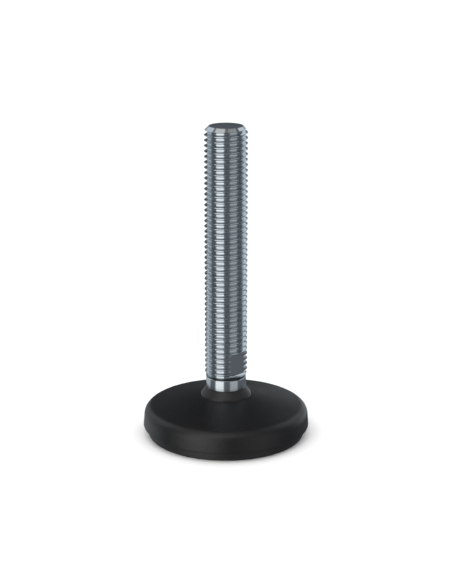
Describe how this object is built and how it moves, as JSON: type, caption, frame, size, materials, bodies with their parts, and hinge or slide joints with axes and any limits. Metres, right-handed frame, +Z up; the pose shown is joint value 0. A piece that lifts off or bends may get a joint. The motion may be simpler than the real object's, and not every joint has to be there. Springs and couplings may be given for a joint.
{
  "type": "machine foot",
  "caption": "Machine foot: a threaded steel stud with wrench flats turns in a ball joint that tilts in a round black plastic foot plate, which stands on a rubber pad.",
  "frame": {"origin": "on the floor at the foot's axis, in the middle of the pad's underside", "axes": "+Z up along the spindle, +X square to one of the two wrench flats"},
  "size_m": [0.0784, 0.0784, 0.1478],
  "materials": {
    "zinc_steel": "zinc plated, bright",
    "black_acetal": "smooth satin moulding",
    "black_polyamide": "fine-grained matt moulding",
    "black_rubber": "matt"
  },
  "bodies": {
    "foot": {"foot_plate": "black_polyamide", "anti_slip_pad": "black_rubber"},
    "ball": {"ball_joint": "black_acetal"},
    "spindle": {"spindle": "zinc_steel"}
  },
  "joints": [
    {"name": "ball_tilt", "type": "hinge", "parent": "foot", "child": "ball", "pos_m": [0, 0, 0.01601], "axis": [0, 1, 0], "range_deg": [-10, 10]},
    {"name": "spindle_turn", "type": "hinge", "parent": "ball", "child": "spindle", "pos_m": [0, 0, 0.01601], "axis": [0, 0, 1], "continuous": true}
  ]
}
